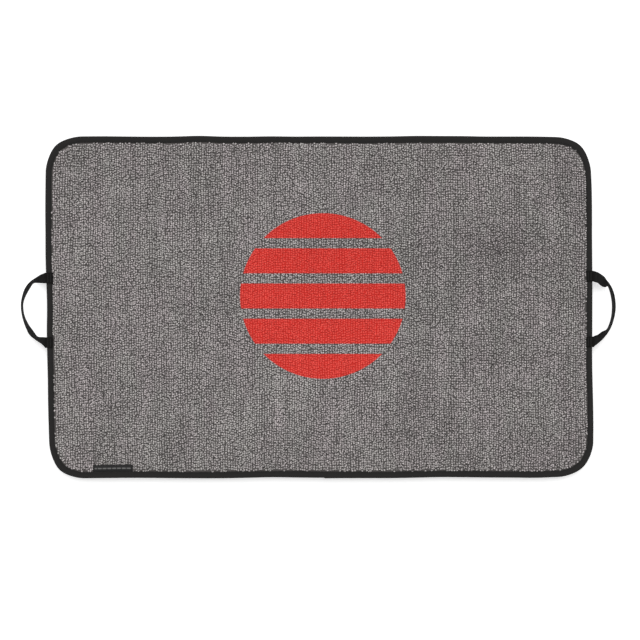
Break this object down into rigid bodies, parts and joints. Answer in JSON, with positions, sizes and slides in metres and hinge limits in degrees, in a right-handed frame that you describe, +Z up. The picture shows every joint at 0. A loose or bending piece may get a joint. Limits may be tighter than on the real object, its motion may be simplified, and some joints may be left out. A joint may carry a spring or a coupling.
{
  "type": "bouldering crash pad",
  "caption": "Thin bouldering crash pad with a loop-pile carpet top over layered foam, bound seams, rounded corners and a webbing carry handle on each short side.",
  "frame": {"origin": "on the floor, under the middle of the pad's bounding box", "axes": "+X along the pad's length towards the right handle, +Y towards the long side away from the label, +Z up out of the carpet"},
  "size_m": [0.99, 0.57, 0.0355],
  "materials": {
    "carpet_pile": "tufted loop pile, salt and pepper grey",
    "carpet_backing": "latex-coated woven backing, matt",
    "firm_foam": "closed-cell foam, matt",
    "soft_foam": "open-cell foam, matt",
    "base_nylon": "coated nylon packcloth, low sheen",
    "wall_nylon": "nylon packcloth, matt",
    "binding_tape": "ribbed grosgrain tape, matt",
    "thread": "bonded sewing thread, slight sheen",
    "webbing": "flat woven webbing, matt",
    "label": "plain woven label, satin"
  },
  "bodies": {
    "pad": {"carpet_pile": "carpet_pile", "carpet_backing": "carpet_backing", "foam_upper": "firm_foam", "foam_lower": "soft_foam", "base_panel": "base_nylon", "side_wall_left": "wall_nylon", "side_wall_right": "wall_nylon", "top_binding": "binding_tape", "bottom_binding": "binding_tape", "top_binding_thread": "thread", "bottom_binding_thread": "thread", "left_handle_upper_tab": "webbing", "left_handle_lower_tab": "webbing", "left_handle_upper_stitching": "thread", "left_handle_lower_stitching": "thread", "right_handle_upper_tab": "webbing", "right_handle_lower_tab": "webbing", "right_handle_upper_stitching": "thread", "right_handle_lower_stitching": "thread", "label_root": "label"},
    "left_handle": {"left_handle_loop": "webbing"},
    "right_handle": {"right_handle_loop": "webbing"},
    "label": {"label_flap": "label"}
  },
  "joints": [
    {"name": "left_handle_swing", "type": "hinge", "parent": "pad", "child": "left_handle", "pos_m": [-0.4562, -0.0058, 0.0339], "axis": [0, 1, 0], "range_deg": [-12, 100]},
    {"name": "right_handle_swing", "type": "hinge", "parent": "pad", "child": "right_handle", "pos_m": [0.4562, -0.0037, 0.0339], "axis": [0, -1, 0], "range_deg": [-12, 100]},
    {"name": "label_flip", "type": "hinge", "parent": "pad", "child": "label", "pos_m": [-0.346, -0.2732, 0.0314], "axis": [1, 0, 0], "range_deg": [0, 90]}
  ]
}
